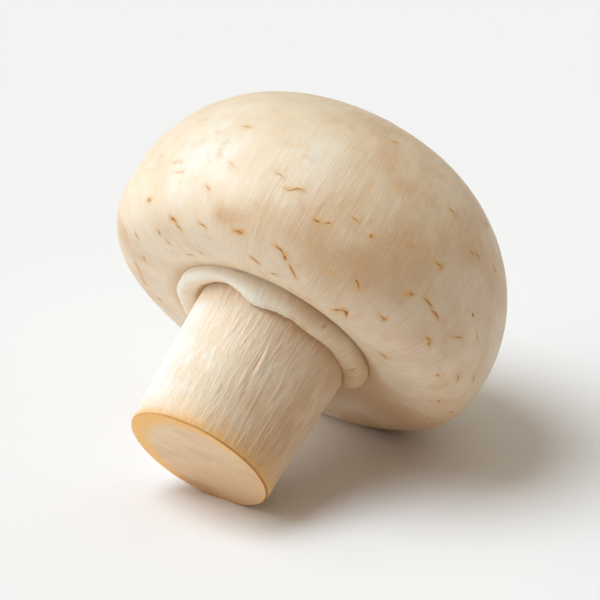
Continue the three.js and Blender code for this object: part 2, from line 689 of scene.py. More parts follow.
@dataclass(frozen=True)
class RingVeil:
    """The ring's smooth pale veil, with faint fibres across the roll."""

    cream: Colour = (0.96, 0.83, 0.66)
    shade: Coat = Coat((0.70, 0.49, 0.27), 0.0, 1.0)
    pale: Coat = Coat((1.0, 0.94, 0.81), 0.0, -0.6)
    stain: Colour = (0.50, 0.27, 0.10)
    lines: Noise = Noise(1.0, 2.0, 0.5, 0.3, (45.0, 45.0, 300.0))
    clouds: Noise = Noise(300.0)
    cloud_tan: Span = (0.3, 0.8, 0.0, 0.2)
    line_tan: float = 0.6
    line_bump: Ends = (0.00009, 0.8)
    flesh: Flesh = Flesh(roughness=0.6)

    def make(self) -> bpy.types.Material:
        """The material."""
        dye = Dye("ring veil")
        lines = dye.ripple(dye.attribute("grain", vector=True), self.lines)
        clouds = dye.span(dye.noise(dye.place(), self.clouds), *self.cloud_tan)
        # the "patch" value is painted light and shade; the clouds and lines are the veil's own tone
        tan = dye.attribute("patch") + clouds + lines * self.line_tan
        colour = dye.coats(self.cream, (tan, self.shade), (tan, self.pale))
        # the stain is a real mark, and painted shade along a crease
        colour = dye.blend(dye.attribute("stain"), colour, self.stain)
        return self.flesh.finish(dye, colour, dye.bump(lines, *self.line_bump))


@dataclass(frozen=True)
class StemFlesh:
    """The stem's matt fibrous side, which turns orange towards the cut."""

    cream: Colour = (0.92, 0.78, 0.61)
    tan: Coat = Coat((0.75, 0.50, 0.29), 0.0, 0.9)
    pale: Coat = Coat((1.0, 0.98, 0.96), 0.0, -0.6)
    warm: Coat = Coat((0.93, 0.55, 0.20), 0.0, 0.0045, 0.45, 0.0)
    orange: Coat = Coat((0.93, 0.55, 0.20), 0.0, 0.0012, 0.85, 0.0)
    edge: Colour = (0.42, 0.15, 0.015)
    threads: Noise = Noise(1.0, 3.0, 0.6, 0.3, (42.0, 42.0, 420.0))
    waves: Noise = Noise(1.0, 1.0, 0.5, 0.4, (30.0, 30.0, 330.0))
    streaks: Noise = Noise(1.0, 2.0, 0.5, 0.5, (14.0, 14.0, 200.0))
    clouds: Noise = Noise(200.0)
    cloud_tan: Span = (0.35, 0.8, -0.1, 0.2)
    patch_tan: Span = (0.0, 0.013, 1.6, 1.0)
    streak_tan: float = 0.2
    thread_tan: float = 0.5
    wisp_tan: float = 0.12
    wisp_width: float = 0.05
    wisp_middle: float = 0.8
    ridge_light: float = 0.15
    streak_reach: float = 0.0016
    edge_line: Span = (0.00008, 0.00028, 1.0, 0.0)
    wisp_bump: Ends = (-0.00004, 0.8)
    thread_bump: Ends = (0.00014, 0.9)
    flesh: Flesh = Flesh(roughness=0.7, shine=0.25)

    def make(self) -> bpy.types.Material:
        """The material."""
        dye = Dye("stem flesh")
        fibre, height = dye.attribute("grain", vector=True), dye.attribute("height")
        threads, streaks = dye.ripple(fibre, self.threads), dye.ripple(fibre, self.streaks)
        wisps = dye.span(dye.math("ABSOLUTE", dye.ripple(fibre, self.waves)), 0.0, self.wisp_width)
        fibrous = streaks * self.streak_tan + threads * self.thread_tan
        fibrous = (fibrous + (wisps - self.wisp_middle) * self.wisp_tan) * dye.attribute("woolly")
        tan = dye.span(dye.noise(dye.place(), self.clouds), *self.cloud_tan) + fibrous
        # the "patch" value is painted light and shade: paler on the lit side, tanner on the shaded side and
        # under the ring
        tan = tan + dye.attribute("patch") * dye.span(height, *self.patch_tan)
        tan = tan - dye.attribute("tone") * self.ridge_light
        low = height + streaks * self.streak_reach
        colour = dye.coats(self.cream, (tan, self.tan), (tan, self.pale))
        colour = dye.coats(colour, (low, self.warm), (low, self.orange))
        colour = dye.blend(dye.span(height, *self.edge_line) * dye.attribute("lined"), colour, self.edge)
        normal = dye.bump(threads, *self.thread_bump, dye.bump(wisps, *self.wisp_bump))
        return self.flesh.finish(dye, colour, normal)


@dataclass(frozen=True)
class CutFlesh:
    """The face of the cut: smooth tan flesh, yellower towards its rim, where the air has browned it.

    It is darkened towards the side that lies on the table and at a spot by the table, which is painted
    shade, and streaked by its clouds, its lines and its pores.
    """

    middle: Colour = (0.84, 0.61, 0.38)
    streak_and_shade: Colour = (0.68, 0.43, 0.22)
    edge: Colour = (0.42, 0.15, 0.015)
    pale: Coat = Coat((0.95, 0.73, 0.47), 0.35, 0.6, 0.6, 0.0)
    rim: Coat = Coat((1.0, 0.58, 0.18), 0.74, 0.98)
    # painted shade: a dark brown spot on the cut where it meets the table
    table_shade: Coat = Coat((0.58, 0.30, 0.12), 0.0003, 0.0024, 0.7, 0.0)
    table_shade_at: Triple = (-0.0012, 0.0072, 0.0)
    table_shade_shape: Triple = (0.5, 1.0, 0.0)
    # painted shade: the cut grows darker towards the side that lies on the table
    shade_towards: Triple = (0.6, 0.8, 0.0)
    bends: Noise = Noise(220.0)
    clouds: Noise = Noise(190.0, 3.0, 0.55, 0.8, (1.0, 2.2, 1.0))
    lines: Noise = Noise(260.0, 2.0, 0.5, 0.6, (1.0, 6.0, 1.0))
    pores: Noise = Noise(2400.0)
    # the first span is that painted shade to one side; the others are the flesh's own streaks
    streaks: tuple[Span, ...] = (
        (-0.006, 0.009, 0.0, 0.6), (0.52, 0.75, 0.0, 0.45), (0.6, 0.75, 0.0, 0.4), (0.55, 0.8, 0.0, 0.3),
    )
    rim_bend: float = 0.10
    rim_browned: float = 0.13
    table_shade_bend: float = 0.002
    edge_bend: float = 0.03
    edge_lined: float = 0.012
    edge_line: Ends = (0.978, 0.99)
    pore_bump: Ends = (0.00004, 0.5)
    cloud_bump: Ends = (0.00015, 0.5)
    flesh: Flesh = Flesh(roughness=0.5, softness=0.15)

    def make(self) -> bpy.types.Material:
        """The material."""
        dye = Dye("cut flesh")
        face = dye.attribute("face", vector=True)
        reach, lined = dye.attribute("reach"), dye.attribute("lined")
        bends = dye.ripple(face, self.bends)
        clouds, lines, pores = (dye.noise(face, kind) for kind in (self.clouds, self.lines, self.pores))
        # painted shade: darker towards the side that lies on the table
        painted_side_shade = dye.vector_math("DOT_PRODUCT", face, self.shade_towards, out="Value")
        colour = dye.coats(self.middle, (clouds, self.pale))
        for value, span in zip((painted_side_shade, clouds, lines, pores), self.streaks):
            colour = dye.blend(dye.span(value, *span), colour, self.streak_and_shade)
        rim = reach + bends * self.rim_bend + dye.attribute("browned") * self.rim_browned
        # painted shade: a dark brown spot where the cut meets the table
        away = dye.vector_math("DISTANCE", face * self.table_shade_shape, self.table_shade_at, out="Value")
        colour = dye.coats(colour, (rim, self.rim), (away + bends * self.table_shade_bend, self.table_shade))
        line = dye.span(reach + bends * self.edge_bend + lined * self.edge_lined, *self.edge_line) * lined
        normal = dye.bump(clouds, *self.cloud_bump, dye.bump(pores, *self.pore_bump))
        return self.flesh.finish(dye, dye.blend(line, colour, self.edge), normal)


@dataclass(frozen=True)
class Paper:
    """The table's plain pale paper. It doesn't hide the mushroom from someone who looks up from below."""

    tint: Colour = (0.907, 0.922, 0.953)

    def make(self) -> bpy.types.Material:
        """The material."""
        dye = Dye("paper")
        matt = dye.run("ShaderNodeBsdfDiffuse", {"Color": self.tint})
        clear = dye.run("ShaderNodeBsdfTransparent", {})
        behind = dye.run("ShaderNodeNewGeometry", {}, "Backfacing")
        return dye.finish(dye.run("ShaderNodeMixShader", {0: behind, 1: matt, 2: clear}))


# Slivers: thin closed shapes that follow a skin


@dataclass(frozen=True)
class Sliver:
    """The make of a sliver: its width and height at its middle, and its sides, rings and shading."""

    width: float
    height: float
    sides: int
    rings: int
    smooth: bool


@dataclass(frozen=True)
class Nap:
    """How slivers are strewn: how many to a square metre, and the ends of each thing that varies."""

    density: float = 7.0e5
    seed: int = 41
    turn: Ends = (-0.10, 0.10)
    bend: Ends = (-0.03, 0.03)
    length: Ends = (0.001, 0.003)
    thick: Ends = (0.6, 1.3)
    tone: Ends = (-0.3, 0.0)


class SliverTree(Graph):
    """A geometry-node tree that lays a sliver on a skin at each of its points.

    A point says how its sliver runs, how long it is, how it bends and how strong its colour is.
    """

    inlets: Mapping[str, str] = {
        "Geometry": "Geometry", "Skin": "Object", "Finish": "Material", "Width": "Float", "Height": "Float",
    }
    notes: set[str] = {"spot", "middle", "side", "run", "length", "bow", "kick", "wave", "thick", "silky"}
    tip_from: float = 0.1
    bow_level: float = 0.4

    def __init__(self, name: str, make: Sliver) -> None:
        """Makes the tree and its inputs.

        Args:
            name: the tree's name.
            make: what its slivers are like.
        """
        super().__init__(bpy.data.node_groups.new(name, "GeometryNodeTree"))
        self.make = make
        for label, kind in self.inlets.items():
            self.tree.interface.new_socket(label, in_out="INPUT", socket_type="NodeSocket" + kind)
        self.tree.interface.new_socket("Geometry", in_out="OUTPUT", socket_type="NodeSocketGeometry")

    def inlet(self, label: str) -> Flow:
        """What comes in under a label."""
        return self.run("NodeGroupInput", {}, label)

    def skin(self) -> Flow:
        """The skin's mesh."""
        return self.run("GeometryNodeObjectInfo", {0: self.inlet("Skin")}, "Geometry")

    def kind(self, value: Flow) -> str:
        """The kind of data that a flow carries."""
        return "FLOAT_VECTOR" if is_vector(value) else "FLOAT"

    def read(self, name: str, vector: bool = False) -> Flow:
        """A named value of each point."""
        kind = "FLOAT_VECTOR" if vector else "FLOAT"
        return self.run("GeometryNodeInputNamedAttribute", {"Name": name}, data_type=kind)

    def keep(self, geometry: Flow, name: str, value: Flow) -> Flow:
        """The geometry with a value written on each point under a name."""
        inputs = {"Geometry": geometry, "Name": name, "Value": value}
        return self.run("GeometryNodeStoreNamedAttribute", inputs, data_type=self.kind(value))

    def under(self, value: Flow, where: Flow) -> Flow:
        """The skin's own value at the nearest place on it."""
        inputs = {"Mesh": self.skin(), "Value": value, "Sample Position": where}
        return self.run("GeometryNodeSampleNearestSurface", inputs, data_type=self.kind(value))

    def random(self, ends: Ends, seed: int) -> Flow:
        """A random number for each point.

        Args:
            ends: the least and the most.
            seed: fixes the draw.

        Returns:
            The number.
        """
        made = self.node("FunctionNodeRandomValue", {"Seed": seed}, data_type="FLOAT")
        numbers = [socket for socket in made.inputs if socket.type == "VALUE"]
        least, most = (socket for socket in numbers if socket.name in ("Min", "Max"))
        least.default_value, most.default_value = ends
        return Flow(self, next(socket for socket in made.outputs if socket.type == "VALUE"))

    def lay(self, points: Flow) -> None:
        """Ends the tree: a sliver on each point, bent and pressed on to the skin.

        Args:
            points: where the slivers go.
        """
        place = self.run("GeometryNodeInputPosition", {})
        normal = self.run("GeometryNodeInputNormal", {})
        run = self.read("run", vector=True)
        points = self.keep(points, "middle", place)
        sideways = self.vector_math("CROSS_PRODUCT", self.under(normal, place), run)
        points = self.keep(points, "side", self.vector_math("NORMALIZE", sideways))
        inputs = {"Segments": self.make.sides, "Rings": self.make.rings, "Radius": 1.0}
        bead = self.keep(self.run("GeometryNodeMeshUVSphere", inputs), "spot", place)
        set_out = self.run("GeometryNodeInstanceOnPoints", {"Points": points, "Instance": bead})
        slivers = self.run("GeometryNodeRealizeInstances", {"Geometry": set_out})
        across, up, along = (self.part(self.read("spot", vector=True), which) for which in range(3))
        tip = self.math("MAXIMUM", along - self.tip_from, 0.0)
        bend = self.read("bow") * (along * along - self.bow_level) + self.read("kick") * tip * tip
        bend = bend + self.read("wave") * self.math("SINE", along * math.pi)
        length, width = self.read("length"), self.inlet("Width") * self.read("thick")
        laid = self.read("middle", vector=True) + run * (along * length * 0.5)
        laid = laid + self.read("side", vector=True) * (across * width * 0.5 + bend * length)
        final = self.under(place, laid) + self.under(normal, laid) * (up * self.inlet("Height") * 0.5)
        slivers = self.run("GeometryNodeSetPosition", {"Geometry": slivers, "Position": final})
        fade = self.math("SUBTRACT", 1.0, along * along)
        slivers = self.keep(slivers, "tone", self.read("tone") * fade)
        for name, vector in (("grain", True), ("stain", False), ("patch", False)):
            slivers = self.keep(slivers, name, self.under(self.read(name, vector), place))
        inputs = {"Geometry": slivers, "Shade Smooth": self.make.smooth}
        slivers = self.run("GeometryNodeSetShadeSmooth", inputs)
        inputs = {"Geometry": slivers, "Material": self.inlet("Finish")}
        self.node("NodeGroupOutput", {"Geometry": self.run("GeometryNodeSetMaterial", inputs)})

    def scatter(self, nap: Nap) -> None:
        """Ends the tree with slivers strewn over the skin, denser where its "silky" value is higher.

        Args:
            nap: how they are strewn.
        """
        inputs = {"Mesh": self.skin(), "Density": self.read("silky") * nap.density, "Seed": nap.seed}
        points = self.run("GeometryNodeDistributePointsOnFaces", inputs)
        place = self.run("GeometryNodeInputPosition", {})
        normal = self.under(self.run("GeometryNodeInputNormal", {}), place)
        angle = self.random(nap.turn, nap.seed + 1)
        inputs = {"Vector": self.read("run", vector=True), "Axis": normal, "Angle": angle}
        points = self.keep(points, "run", self.run("ShaderNodeVectorRotate", inputs))
        ends = {
            "length": nap.length, "bow": nap.bend, "kick": nap.bend, "thick": nap.thick, "tone": nap.tone,
            "wave": nap.bend,
        }
        for seed, name in enumerate(ends, nap.seed + 2):
            points = self.keep(points, name, self.random(ends[name], seed))
        self.lay(points)

    def grow(
        self, name: str, seeds: bpy.types.Mesh, skin: bpy.types.Object, finish: bpy.types.Material
    ) -> bpy.types.Object:
        """Runs the tree once and keeps the plain mesh that it makes.

        Args:
            name: the piece's name.
            seeds: the points that the tree starts from.
            skin: what the slivers lie on.
            finish: what they wear.

        Returns:
            The piece.
        """
        piece = put(name, seeds)
        worker = piece.modifiers.new("slivers", "NODES")
        worker.node_group = self.tree
        inputs = {"Skin": skin, "Finish": finish, "Width": self.make.width, "Height": self.make.height}
        for item in self.tree.interface.items_tree:
            if item.in_out == "INPUT" and item.name in inputs:
                worker[item.identifier] = inputs[item.name]
        graph = bpy.context.evaluated_depsgraph_get()
        mesh = bpy.data.meshes.new_from_object(piece.evaluated_get(graph), depsgraph=graph)
        piece.modifiers.clear()
        piece.data = mesh
        mesh.name = name
        for extra in self.notes & set(mesh.attributes.keys()):
            mesh.attributes.remove(mesh.attributes[extra])
        return piece


class FleckShape(Enum):
    """How a torn bit of skin curls: its bow, its kick, its wave and how thick it is."""

    LINE = (-0.03, 0.0, 0.02, 1.0)
    SMILE = (0.18, 0.0, 0.0, 1.0)
    ARCH = (-0.15, 0.0, 0.0, 1.1)
    HOOK = (0.0, 0.4, 0.0, 1.1)
    WAVE = (-0.02, 0.0, 0.09, 1.0)
    BLOT = (-0.08, 0.0, 0.0, 1.9)


@dataclass(frozen=True)
class Fleck:
    """A bit of torn, browned skin.

    The angle is in degrees. The way up from the lip and the length are mm. The heading is how many degrees
    it is turned from the fibres towards growing angles. The strength is how dark it is, the halo its stain.
    """

    angle: float
    way: float
    heading: float
    length: float
    shape: FleckShape
    strength: float
    halo: float = 0.3


@dataclass(frozen=True)
class Patch:
    """A broad soft patch of the skin, tan above zero and pale below, or a swelling. Way and size are mm."""

    angle: float
    way: float
    size: float
    strength: float


CAP_WELTS = (
    Welt(-50.5, 13.8, 2.0, 0.10, 0.2), Welt(-52.8, 13.1, 1.6, 0.08, 0.2), Welt(-56, 15.8, 1.8, 0.07, 0.24),
    Welt(-66.5, 13.9, 2.0, 0.08, 0.22), Welt(-59.5, 13.9, 1.8, 0.09, 0.2), Welt(-63.5, 12.6, 1.6, 0.06, 0.2),
    Welt(-74.5, 11.6, 2.0, 0.05, 0.22), Welt(-77, 10.8, 1.8, 0.05, 0.22), Welt(-71.5, 10.6, 1.8, 0.05, 0.22),
    Welt(-54, 14.9, 1.6, 0.07, 0.2), Welt(-47.5, 15.0, 1.8, 0.07, 0.22), Welt(-45, 17.5, 2.0, 0.05, 0.26),
)
STEM_WELTS = (
    Welt(-53.6, 9.9, 4.6, 0.19, 0.38), Welt(-55.9, 9.9, 4.0, -0.14, 0.1), Welt(-62, 14.0, 2.2, 0.09, 0.2),
    Welt(-67, 11.6, 1.8, 0.09, 0.2),
    Welt(-83, 12.8, 4.2, 0.06, 0.22), Welt(-75, 14.0, 3.0, 0.08, 0.2), Welt(-58.8, 7.5, 2.8, 0.10, 0.22),
    Welt(-66, 6.8, 2.6, 0.06, 0.25), Welt(-79, 9.0, 3.0, 0.05, 0.25), Welt(-50, 9.0, 2.8, 0.07, 0.22),
    Welt(-78, 3.6, 1.8, 0.07, 0.22), Welt(-93, 4.0, 2.0, 0.07, 0.25), Welt(-71, 5.0, 2.4, 0.05, 0.22),
    Welt(-47, 10.6, 2.4, 0.06, 0.2), Welt(-70, 14.6, 2.6, 0.08, 0.18), Welt(-87, 14.8, 2.6, 0.06, 0.2),
    Welt(-40, 12.5, 3.0, 0.05, 0.2), Welt(-34, 7.0, 3.0, 0.05, 0.25), Welt(-24, 10.5, 3.0, 0.05, 0.25),
)
RING_CREASES = (Welt(2, 9.5, 2.0, -0.3, 0.18), Welt(-103, 11.0, 1.6, -0.08, 0.2))
# a small brown mark on the roll, and a dark line along the crease at the roll's end, which is painted shade
RING_STAIN_AND_CREASE_SHADE = (Welt(-35, 10.75, 0.8, 0.7, 0.14), Welt(2, 9.5, 1.6, 0.8, 0.14))
LINE, SMILE, ARCH, HOOK, WAVE, BLOT = FleckShape
FLECKS = (
    Fleck(-82.9, 6.6, 76, 1.2, ARCH, 1.0, 0.55),
    Fleck(-82.2, 6.55, 84, 0.7, BLOT, 0.9, 0.35),
    Fleck(-76, 3.75, 118, 1.2, LINE, 0.6, 0.5),
    Fleck(-68, 6.6, 112, 1.8, ARCH, 0.7, 0.45),
    Fleck(-65.6, 6.1, 150, 0.8, BLOT, 0.8, 0.4),
    Fleck(-61.6, 4.7, 138, 2.2, LINE, 0.85, 0.4),
    Fleck(-68, 2.7, 75, 0.9, LINE, 0.4, 0.3),
    Fleck(-62.4, 10.95, 93, 1.0, LINE, 0.95, 0.5),
    Fleck(-59.8, 11.1, 74, 1.0, WAVE, 0.6, 0.35),
    Fleck(-71.8, 12.5, 72, 2.2, WAVE, 0.5, 0.5),
    Fleck(-77.5, 13.7, 103, 1.4, LINE, 0.3, 0.35),
    Fleck(-96.4, 6.0, 112, 1.2, LINE, 0.5, 0.4),
    Fleck(-109.3, 5.95, 118, 0.9, BLOT, 0.9, 0.7),
    Fleck(-107.5, 5.2, 140, 0.9, LINE, 0.5, 0.4),
    Fleck(-120.5, 8.2, 90, 0.8, BLOT, 0.6, 0.5),
    Fleck(-96.2, 10.0, 126, 1.0, LINE, 0.5, 0.35),
    Fleck(-109.2, 11.0, 92, 1.9, SMILE, 0.27, 0.2),
    Fleck(-112, 12.4, 90, 2.4, SMILE, 0.21, 0.15),
    Fleck(-122.3, 13.1, 60, 0.8, BLOT, 0.0, 0.18),
    Fleck(-126, 11.75, 80, 0.9, BLOT, 0.1, 0.2),
    Fleck(-97.8, 14.05, 150, 1.0, LINE, 0.2, 0.25),
    Fleck(-92.4, 13.05, 115, 1.3, LINE, 0.25, 0.2),
    Fleck(-120.4, 4.1, 20, 0.7, BLOT, 0.4, 0.45),
    Fleck(-119.3, 2.7, 0, 1.0, LINE, 0.3, 0.35),
    Fleck(-104, 1.3, 20, 0.7, LINE, 0.25, 0.3),
    Fleck(-113.5, 0.3, 100, 1.1, LINE, 0.35, 0.4),
    Fleck(-137.5, 4.9, 30, 0.9, LINE, 0.45, 0.3),
    Fleck(-144.5, 6.0, 20, 1.2, LINE, 0.4, 0.3),
    Fleck(-149.5, 2.5, 80, 1.2, BLOT, 0.3, 0.5),
    Fleck(-165, 3.4, 80, 2.6, LINE, 0.35, 0.45),
    Fleck(-173, 3.2, 85, 2.2, LINE, 0.3, 0.5),
    Fleck(-95.5, 18.4, 85, 0.9, LINE, 0.35, 0.4),
    Fleck(-103.5, 16.8, 90, 0.6, BLOT, 0.0, 0.2),
    Fleck(-113.5, 18.9, 70, 1.1, BLOT, 0.0, 0.22),
    Fleck(-79.8, 17.7, 80, 1.2, BLOT, 0.0, 0.2),
    Fleck(-54, 12.95, 102, 1.3, LINE, 0.4, 0.35),
    Fleck(-47.8, 12.2, 40, 0.5, BLOT, 0.55, 0.4),
    Fleck(-52.4, 7.2, 78, 1.7, BLOT, 0.12, 0.35),
    Fleck(-43.1, 7.9, 125, 1.4, ARCH, 0.9, 0.45),
    Fleck(-41, 3.4, 32, 1.7, ARCH, 0.85, 0.55),
    Fleck(-38.7, 3.75, 128, 1.6, ARCH, 1.0, 0.5),
    Fleck(-38.8, 3.8, 128, 0.9, BLOT, 0.8, 0.3),
    Fleck(-30.1, 6.5, 95, 0.9, LINE, 0.7, 0.45),
    Fleck(-29.1, 6.7, 5, 0.7, LINE, 0.5, 0.3),
    Fleck(-29.3, 10.2, 65, 1.0, BLOT, 0.6, 0.6),
    Fleck(-23.0, 10.75, 98, 1.8, LINE, 1.0, 0.5),
    Fleck(-19.3, 10.5, 91, 2.0, ARCH, 0.95, 0.45),
    Fleck(-27, 14.7, 89, 1.2, LINE, 0.6, 0.4),
    Fleck(-25.9, 15.0, -7, 0.8, LINE, 0.4, 0.25),
    Fleck(-36.5, 14.2, 60, 1.2, SMILE, 0.25, 0.35),
    Fleck(-48, 19.6, 40, 1.1, BLOT, 0.0, 0.35),
    Fleck(-55, 17.4, 10, 1.1, BLOT, 0.0, 0.25),
    Fleck(-55, 26.4, 60, 0.7, BLOT, 0.4, 0.4),
    Fleck(-29.8, 21.9, 102, 1.1, LINE, 0.6, 0.4),
    Fleck(-28.4, 22.1, 141, 0.9, LINE, 0.35, 0.3),
    Fleck(-11.0, 26.1, 103, 0.9, BLOT, 0.8, 0.4),
    Fleck(-18.2, 19.5, 92, 1.3, LINE, 0.7, 0.4),
    Fleck(-15.5, 19.75, 103, 1.0, ARCH, 0.75, 0.4),
    Fleck(-5.3, 21.1, 105, 1.8, LINE, 0.7, 0.4),
    Fleck(-7.4, 13.9, 116, 0.6, BLOT, 0.85, 0.4),
    Fleck(-7.3, 10.75, 55, 1.9, LINE, 0.6, 0.4),
    Fleck(-0.3, 13.0, 108, 1.4, ARCH, 0.35, 0.3),
    Fleck(-14.8, 8.3, 83, 1.0, LINE, 0.7, 0.5),
    Fleck(-13.2, 8.1, 100, 0.6, BLOT, 0.75, 0.4),
    Fleck(-13.6, 2.3, 70, 1.2, ARCH, 0.7, 0.55),
    Fleck(0.9, 7.0, 40, 0.5, BLOT, 0.5, 0.35),
    Fleck(6.5, 8.8, 105, 1.2, ARCH, 0.65, 0.4),
    Fleck(13.0, 10.4, 112, 1.1, ARCH, 0.6, 0.4),
    Fleck(17.3, 6.15, 95, 0.9, LINE, 0.6, 0.4),
    Fleck(28.5, 7.4, 40, 0.8, BLOT, 0.4, 0.45),
    Fleck(34, 5.0, 40, 1.4, LINE, 0.35, 0.5),
)
SWELLINGS = (Patch(-24, 28, 8, 0.3), Patch(-89, 27, 7, -0.22))
# Patches of the cap's skin: partly its own beige zones and smudges, partly painted light and shade. Pale
# patches (below zero) brighten the side the key light falls on as a painted highlight, and tan ones darken
# the shaded side and the underside by the table as painted shade.
PATCHES = (
    Patch(-101, 12.5, 6.5, -1.3),
    Patch(-75, 15.5, 4.5, -0.6),
    Patch(-118, 19.0, 6.0, -0.4),
    Patch(-44, 9.5, 5.0, 1.2),
    Patch(-62, 9.0, 3.0, 0.95),
    Patch(-78, 7.7, 3.0, 0.45),
    Patch(-89.0, 7.7, 1.4, 1.5),
    Patch(-83.0, 8.2, 1.2, 0.7),
    Patch(-107.0, 6.6, 1.2, 0.6),
    Patch(-30, 14.0, 5.0, 0.5),
    Patch(-48, 20.0, 5.0, 0.4),
    Patch(-122, 5.5, 3.0, 0.1),
    Patch(-150, 3.5, 3.5, 0.3),
    Patch(-60, 27.0, 5.0, 0.35),
    Patch(10, 4.0, 4.0, 0.3),
    Patch(45, 3.5, 5.0, 1.3),
    Patch(34, 5.5, 3.0, 0.5),
    Patch(40, -1.0, 4.0, 1.0),
    Patch(72, 9.0, 6.0, 1.6),
    Patch(40, 13.0, 5.0, 0.6),
    Patch(-5, 15.0, 8.0, 0.5),
    Patch(-18, 22.0, 6.0, 0.4),
    Patch(20, 9.0, 6.0, 0.3),
    Patch(-135, 14.0, 5.0, -0.3),
    Patch(-128, 7.5, 4.5, -0.75),
    Patch(-100, 24.0, 7.0, -0.35),
    Patch(-70, 18.0, 4.0, -0.4),
    Patch(0, 12.0, 3.5, -0.4),
    Patch(-20, 4.5, 2.5, -0.3),
    Patch(-60, 2.0, 2.5, -0.3),
)


# The pieces


@dataclass
class Ring:
    """The soft roll of veil round the neck. On one side it flares into a collar with a hollow under it.

    Its outer radius, the height of its lower edge and its cove, which is how far the collar's underside is
    hollowed, are mm at degrees round the axis.
    """

    lie: Lie
    inner: float = 0.0093
    high: float = 0.0205
    shoulder: float = 5.0
    hem: float = 2.5
    outer: Round = Round({
        -170: 12.65, -150: 12.8, -130: 12.75, -110: 12.6, -95: 12.4, -80: 12.25, -60: 12.2, -40: 12.1,
        -20: 12.1, 0: 12.2, 15: 12.25, 25: 11.9, 34: 11.1, 45: 10.6, 90: 10.6, 135: 11.3, 160: 11.9,
    })
    low: Round = Round({
        -170: 16.6, -150: 16.6, -130: 16.6, -110: 16.6, -97: 16.65, -88: 16.45, -78: 16.3, -66: 16.5,
        -50: 16.6, -38: 16.5, -27: 16.75, -10: 16.8, 5: 16.7, 18: 16.6, 30: 17.0, 45: 17.6, 90: 17.6,
        140: 17.0,
    })
    cove: Round = Round({
        -180: 1.1, -150: 1.2, -120: 1.2, -104: 1.0, -94: 0.5, -84: 0.0, -60: 0.0, -20: 0.0, 20: 0.0, 60: 0.2,
        120: 0.4,
    })
    cove_depth: float = 1.3
    cove_curve: float = 0.7
    # painted light and shade round the roll: pale towards -150 degrees, where the key light falls, tan from
    # -53 to 40 degrees, which the cap shades
    tan: Round = Round({
        -150: -0.9, -97: -0.85, -75: -0.5, -53: 0.35, -35: 0.45, -10: 0.5, 15: 0.8, 40: 0.5, 90: 0.3,
        150: -0.3,
    })
    # painted shade: tan in the cove under the collar and in the grooves by the cap's lip and the stem
    cove_shade: float = 1.5
    groove_shade: float = 0.9
    underside: Ends = (0.75, 0.0)
    groove_rise: Ends = (0.45, 0.8)
    groove_share: Ends = (0.6, 0.9)
    inside_share: Ends = (0.4, 0.1)
    waves: Relief = Relief(13, 44, 4, 0.10)
    frills: Relief = Relief(16, 110, 4, 0.05)
    scallops: Relief = Relief(11, 30, 5, 0.06)
    wander: Relief = Relief(14, 60, 6, 0.002)
    fibres: Relief = Relief(12, 200, 5)
    fibre_width: float = 0.25
    fibre_height: float = 0.08
    evenness: float = 0.6
    unevenness: Relief = Relief(15, 16, 3, 0.5)
    creases: tuple[Welt, ...] = RING_CREASES
    marks: tuple[Welt, ...] = RING_STAIN_AND_CREASE_SHADE
    columns: int = 640
    rows: int = 110
    finish: RingVeil = RingVeil()

    def build(self) -> bpy.types.Object:
        """Makes the roll: first a round section, one each way from its middle, then its true size."""
        turn = np.arange(self.rows) / self.rows * TURN
        section = superellipse(turn, np.where(np.sin(turn) > 0, self.shoulder, self.hem)).T
        skin = Turned(self.lie, section, self.columns, loop=True)
        share, rise = (skin.radius + 1) / 2, (skin.height + 1) / 2
        below = smoothstep(*self.underside, rise)
        low = MM * (self.low.at(skin.turn) + self.waves.at(skin.lap, 0.5) + self.frills.at(skin.lap, 0.5))
        cove = self.cove.at(skin.turn) * below
        dip = MM * self.cove_depth * cove * (1 - share) ** self.cove_curve
        skin.radius = self.inner + (self.outer.at(skin.turn) * MM - self.inner) * share
        skin.height = low + (self.high - low) * rise + dip
        way = distance_along(np.stack([skin.radius[:, 0], skin.height[:, 0]], 1))
        skin.way = np.repeat(way[:, None], self.columns, 1)
        self.roughen(skin)
        # where the groove shade is painted: by the cap's lip and where the roll meets the stem
        groove = smoothstep(*self.groove_rise, rise) * smoothstep(*self.groove_share, share)
        groove = groove + below * smoothstep(*self.inside_share, share)
        # painted light and shade round the roll, and painted shade in the cove and in the grooves
        tan = self.tan.at(skin.turn) + self.cove_shade * cove * (1 - share) + self.groove_shade * groove
        # the stain is a real mark, and painted shade along the crease at the roll's end
        values = {"grain": grain(skin.turn, skin.way), "patch": tan, "stain": skin.raised(self.marks) / MM}
        return skin.build("ring_roll", [self.finish.make()], values)

    def roughen(self, skin: Turned) -> None:
        """Gives the roll its scallops and creases and the faint fibres across it.

        Args:
            skin: the roll.
        """
        lap, along = skin.lap, skin.way / skin.way.max()
        fibres = crest(self.fibres.at(lap + self.wander.at(lap, along), along), self.fibre_width)
        strength = self.evenness + self.unevenness.at(lap, along)
        height = self.scallops.at(lap, along) + self.fibre_height * strength * fibres
        skin.lift(MM * height + skin.raised(self.creases))


